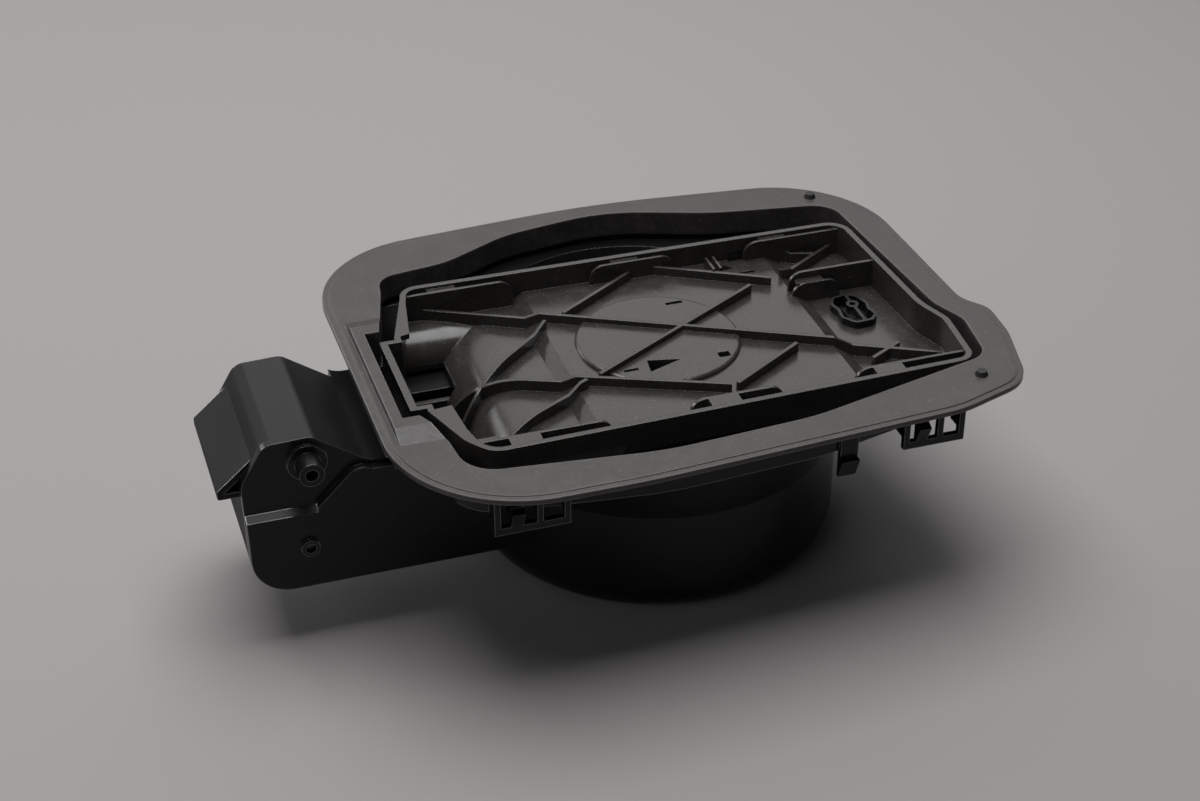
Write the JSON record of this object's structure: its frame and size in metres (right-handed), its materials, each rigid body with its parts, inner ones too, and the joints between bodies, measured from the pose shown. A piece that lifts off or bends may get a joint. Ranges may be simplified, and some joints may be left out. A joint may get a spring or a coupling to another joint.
{
  "type": "charging flap insert",
  "caption": "Car charging flap insert: round socket pot with hinge box, soft collar seal, ribbed swing flap on a swan-neck arm and a push latch.",
  "frame": {"origin": "centre of the charging socket bore on the underside plane of the pot", "axes": "+X along the flap away from its hinge, +Y across it, +Z out of the pot through the flap"},
  "size_m": [0.2628, 0.1711, 0.0776],
  "materials": {
    "black_moulding": "fine grained black polypropylene",
    "grey_seal": "matte grey elastomer",
    "grey_carrier": "satin dark grey",
    "stud_plastic": "matte dark",
    "latch_plastic": "satin black",
    "plain_steel": "zinc plated",
    "spring_steel": "drawn wire"
  },
  "bodies": {
    "housing": {"pot_housing": "black_moulding", "collar_seal": "grey_seal", "locating_studs": "stud_plastic", "hinge_pin": "plain_steel", "spring_anchor": "plain_steel", "latch_body": "latch_plastic", "latch_screws": "plain_steel", "latch_spring": "spring_steel"},
    "flap": {"flap_carrier": "grey_carrier", "crank_stub": "plain_steel", "latch_receiver": "latch_plastic"},
    "spring": {"flip_spring": "spring_steel"},
    "plunger": {"latch_plunger": "latch_plastic"}
  },
  "joints": [
    {"name": "flap_hinge", "type": "hinge", "parent": "housing", "child": "flap", "pos_m": [-0.124, 0, 0.0675], "axis": [0, -1, 0], "range_deg": [0, 82], "deforming": ["flip_spring"]},
    {"name": "spring_swing", "type": "hinge", "parent": "housing", "child": "spring", "pos_m": [-0.1255, 0, 0.037], "axis": [0, 1, 0], "range_deg": [0, 34]},
    {"name": "plunger_push", "type": "slide", "parent": "housing", "child": "plunger", "axis": [0, 0, 1], "range_m": [-0.003, 0], "stiffness_N_per_m": 200, "springref_m": 0.01, "deforming": ["latch_spring"]}
  ],
  "couplings": [
    {"joint": "spring_swing", "follows": "flap_hinge", "ratio": 0.3883}
  ]
}
